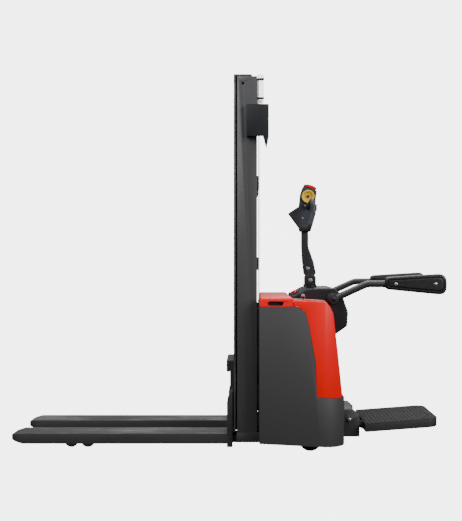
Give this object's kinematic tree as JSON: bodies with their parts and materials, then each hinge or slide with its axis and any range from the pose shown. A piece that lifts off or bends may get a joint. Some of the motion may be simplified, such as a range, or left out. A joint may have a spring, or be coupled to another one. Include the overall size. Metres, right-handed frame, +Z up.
{
  "type": "walkie stacker",
  "caption": "Stand-on electric stacker with straddling forks, telescoping mast, tiller, fold-down platform and folding side arms.",
  "frame": {"origin": "on the floor under the middle of the overall box", "axes": "+Z up, forks point toward -X, operator stands on the +X side"},
  "size_m": [2.43, 0.85, 2.08],
  "materials": {
    "frame_paint": "satin",
    "fork_paint": "satin",
    "panel_paint": "satin",
    "red_cover": "satin",
    "console_plastic": "matte",
    "bare_steel": "satin",
    "gear_casting": "matte",
    "motor_paint": "satin",
    "battery_case": "matte",
    "clear_guard": "polished",
    "tyre": "matte",
    "roller_tint": "satin",
    "arm_tube": "satin",
    "pad_skin": "satin",
    "deck_paint": "satin",
    "mat_rubber": "matte",
    "red_button": "gloss",
    "yellow_plastic": "satin"
  },
  "bodies": {
    "chassis": {"base_frame": "frame_paint", "steering_bearing": "bare_steel", "leg_left": "frame_paint", "leg_right": "frame_paint", "body_shell": "panel_paint", "motor_cover": "red_cover", "console": "console_plastic", "battery": "battery_case", "pump_unit": "motor_paint", "outer_rail_left": "frame_paint", "outer_rail_right": "frame_paint", "outer_crossbars": "frame_paint", "lift_cylinders": "bare_steel", "guard_panel": "clear_guard", "mast_fittings": "console_plastic", "platform_bracket": "frame_paint"},
    "battery_lid": {"battery_lid": "red_cover"},
    "steering": {"drive_gearbox": "gear_casting", "traction_motor": "motor_paint", "tiller_clevis": "console_plastic"},
    "drive_wheel": {"drive_wheel": "tyre"},
    "tiller": {"tiller_arm": "console_plastic", "gas_spring": "bare_steel", "tiller_pins": "bare_steel", "tiller_head": "console_plastic"},
    "belly_button": {"belly_button": "red_button"},
    "thumb_wheels": {"thumb_wheels": "yellow_plastic"},
    "lift_rocker": {"lift_rocker": "mat_rubber"},
    "inner_mast": {"inner_rail_left": "frame_paint", "inner_rail_right": "frame_paint", "inner_crossbars": "frame_paint", "lift_rods": "bare_steel", "front_chains": "bare_steel", "rear_chains": "bare_steel"},
    "chain_sheaves": {"chain_sheaves": "bare_steel"},
    "foot_rollers": {"foot_rollers": "bare_steel"},
    "carriage": {"carriage_frame": "frame_paint", "fork_left": "fork_paint", "fork_right": "fork_paint"},
    "carriage_rollers_low": {"carriage_rollers_low": "bare_steel"},
    "carriage_rollers_high": {"carriage_rollers_high": "bare_steel"},
    "platform": {"platform_deck": "deck_paint", "platform_mat": "mat_rubber"},
    "emergency_stop": {"emergency_stop": "red_button"},
    "key_switch": {"key_switch": "bare_steel"},
    "bogie_left": {"bogie_left": "frame_paint"},
    "castor_fork_left": {"castor_fork_left": "bare_steel"},
    "castor_wheel_left": {"castor_wheel_left": "tyre"},
    "side_arm_left": {"side_arm_left": "arm_tube", "arm_pad_left": "pad_skin"},
    "load_roller_front_left": {"load_roller_front_left": "roller_tint"},
    "load_roller_rear_left": {"load_roller_rear_left": "roller_tint"},
    "bogie_right": {"bogie_right": "frame_paint"},
    "castor_fork_right": {"castor_fork_right": "bare_steel"},
    "castor_wheel_right": {"castor_wheel_right": "tyre"},
    "side_arm_right": {"side_arm_right": "arm_tube", "arm_pad_right": "pad_skin"},
    "load_roller_front_right": {"load_roller_front_right": "roller_tint"},
    "load_roller_rear_right": {"load_roller_rear_right": "roller_tint"}
  },
  "joints": [
    {"name": "mast_lift", "type": "slide", "parent": "chassis", "child": "inner_mast", "axis": [0, 0, 1], "range_m": [0, 1.42], "deforming": ["rear_chains"]},
    {"name": "carriage_lift", "type": "slide", "parent": "inner_mast", "child": "carriage", "axis": [0, 0, 1], "range_m": [0, 1.42], "deforming": ["front_chains"]},
    {"name": "sheave_spin", "type": "hinge", "parent": "inner_mast", "child": "chain_sheaves", "pos_m": [0.10025, 0, 1.98], "axis": [0, 1, 0], "continuous": true},
    {"name": "foot_roller_spin", "type": "hinge", "parent": "inner_mast", "child": "foot_rollers", "pos_m": [0.108, 0, 0.1517], "axis": [0, 1, 0], "continuous": true},
    {"name": "low_roller_spin", "type": "hinge", "parent": "carriage", "child": "carriage_rollers_low", "pos_m": [0.08425, 0, 0.16], "axis": [0, 1, 0], "continuous": true},
    {"name": "high_roller_spin", "type": "hinge", "parent": "carriage", "child": "carriage_rollers_high", "pos_m": [0.08425, 0, 0.42], "axis": [0, 1, 0], "continuous": true},
    {"name": "steer", "type": "hinge", "parent": "chassis", "child": "steering", "pos_m": [0.477, 0, 0.235], "axis": [0, 0, 1], "range_deg": [-90, 90]},
    {"name": "drive_spin", "type": "hinge", "parent": "steering", "child": "drive_wheel", "pos_m": [0.477, 0, 0.115], "axis": [0, 1, 0], "continuous": true},
    {"name": "tiller_tilt", "type": "hinge", "parent": "steering", "child": "tiller", "pos_m": [0.477, 0, 0.937], "axis": [0, 1, 0], "range_deg": [0, 60], "stiffness_Nm_per_rad": 30, "springref_deg": -34.38},
    {"name": "belly_press", "type": "slide", "parent": "tiller", "child": "belly_button", "axis": [-0.281, 0, -0.9597], "range_m": [0, 0.007], "stiffness_N_per_m": 600, "springref_m": -0.006},
    {"name": "thumb_turn", "type": "hinge", "parent": "tiller", "child": "thumb_wheels", "pos_m": [0.463, 0, 1.426], "axis": [0, 1, 0], "range_deg": [-25, 25], "stiffness_Nm_per_rad": 1},
    {"name": "rocker_tip", "type": "hinge", "parent": "tiller", "child": "lift_rocker", "pos_m": [0.514, 0, 1.364], "axis": [0, 1, 0], "range_deg": [-4, 4], "stiffness_Nm_per_rad": 0.5},
    {"name": "platform_fold", "type": "hinge", "parent": "chassis", "child": "platform", "pos_m": [0.6905, 0, 0.144], "axis": [0, -1, 0], "range_deg": [0, 85]},
    {"name": "lid_lift", "type": "slide", "parent": "chassis", "child": "battery_lid", "axis": [0, 0, 1], "range_m": [0, 0.12]},
    {"name": "stop_press", "type": "slide", "parent": "chassis", "child": "emergency_stop", "axis": [0.4271, 0, -0.9042], "range_m": [0, 0.005]},
    {"name": "key_turn", "type": "hinge", "parent": "chassis", "child": "key_switch", "pos_m": [0.419, -0.27, 0.858], "axis": [0, 1, 0], "range_deg": [0, 90]},
    {"name": "bogie_tilt_left", "type": "hinge", "parent": "chassis", "child": "bogie_left", "pos_m": [-0.8366, -0.195, 0.04], "axis": [0, 1, 0], "range_deg": [-3, 3]},
    {"name": "castor_swivel_left", "type": "hinge", "parent": "chassis", "child": "castor_fork_left", "pos_m": [0.482, -0.302, 0.15], "axis": [0, 0, 1], "continuous": true},
    {"name": "castor_spin_left", "type": "hinge", "parent": "castor_fork_left", "child": "castor_wheel_left", "pos_m": [0.457, -0.302, 0.064], "axis": [0, 1, 0], "continuous": true},
    {"name": "arm_fold_left", "type": "hinge", "parent": "chassis", "child": "side_arm_left", "pos_m": [0.588, -0.29, 0.838], "axis": [0, -1, 0], "range_deg": [0, 75]},
    {"name": "load_roller_front_left_spin", "type": "hinge", "parent": "bogie_left", "child": "load_roller_front_left", "pos_m": [-0.8831, -0.195, 0.04], "axis": [0, 1, 0], "continuous": true},
    {"name": "load_roller_rear_left_spin", "type": "hinge", "parent": "bogie_left", "child": "load_roller_rear_left", "pos_m": [-0.7901, -0.195, 0.04], "axis": [0, 1, 0], "continuous": true},
    {"name": "bogie_tilt_right", "type": "hinge", "parent": "chassis", "child": "bogie_right", "pos_m": [-0.8366, 0.195, 0.04], "axis": [0, 1, 0], "range_deg": [-3, 3]},
    {"name": "castor_swivel_right", "type": "hinge", "parent": "chassis", "child": "castor_fork_right", "pos_m": [0.482, 0.302, 0.15], "axis": [0, 0, 1], "continuous": true},
    {"name": "castor_spin_right", "type": "hinge", "parent": "castor_fork_right", "child": "castor_wheel_right", "pos_m": [0.457, 0.302, 0.064], "axis": [0, 1, 0], "continuous": true},
    {"name": "arm_fold_right", "type": "hinge", "parent": "chassis", "child": "side_arm_right", "pos_m": [0.588, 0.29, 0.838], "axis": [0, -1, 0], "range_deg": [0, 75]},
    {"name": "load_roller_front_right_spin", "type": "hinge", "parent": "bogie_right", "child": "load_roller_front_right", "pos_m": [-0.8831, 0.195, 0.04], "axis": [0, 1, 0], "continuous": true},
    {"name": "load_roller_rear_right_spin", "type": "hinge", "parent": "bogie_right", "child": "load_roller_rear_right", "pos_m": [-0.7901, 0.195, 0.04], "axis": [0, 1, 0], "continuous": true}
  ],
  "couplings": [
    {"joint": "carriage_lift", "follows": "mast_lift", "ratio": 1},
    {"joint": "sheave_spin", "follows": "mast_lift", "rad_per_m": 26.316},
    {"joint": "foot_roller_spin", "follows": "mast_lift", "rad_per_m": 24.57},
    {"joint": "low_roller_spin", "follows": "mast_lift", "rad_per_m": 25.674},
    {"joint": "high_roller_spin", "follows": "mast_lift", "rad_per_m": 25.674}
  ]
}
